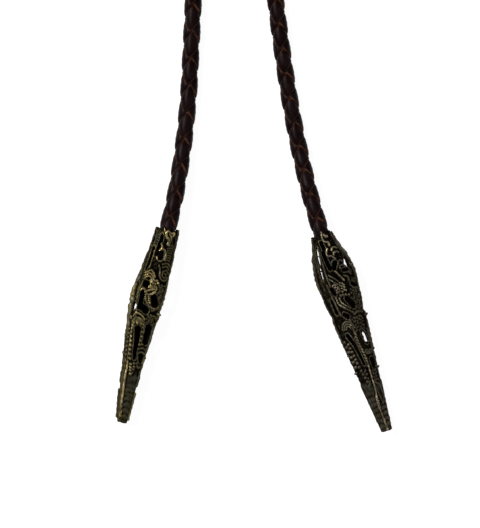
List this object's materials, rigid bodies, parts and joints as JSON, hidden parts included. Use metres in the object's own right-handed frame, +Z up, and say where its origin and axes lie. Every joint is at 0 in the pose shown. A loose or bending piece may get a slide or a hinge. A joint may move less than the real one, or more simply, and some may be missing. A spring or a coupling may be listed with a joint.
{
  "type": "bolo tie",
  "caption": "Braided leather cord worn as a tie: a loop round the neck, an oval slide that gathers it and two tails that end in pierced bronze tips.",
  "frame": {"origin": "middle of the slide's flat back, which lies on the surface", "axes": "+Y up the tie from the tips to the neck loop, +Z up from the surface, +X to the right from above"},
  "size_m": [0.131, 0.4617, 0.0133],
  "materials": {
    "braided_leather": "dark maroon-brown leather lace, satin faces and lighter cut edges",
    "tip_bronze": "antique bronze, blackened recesses and brighter worn ridges",
    "slide_bronze": "antique bronze, satin"
  },
  "bodies": {
    "root": {"left_tip": "tip_bronze", "right_tip": "tip_bronze", "left_tail": "braided_leather", "right_tail": "braided_leather", "neck_loop": "braided_leather", "slide_clasp": "slide_bronze"}
  },
  "joints": []
}
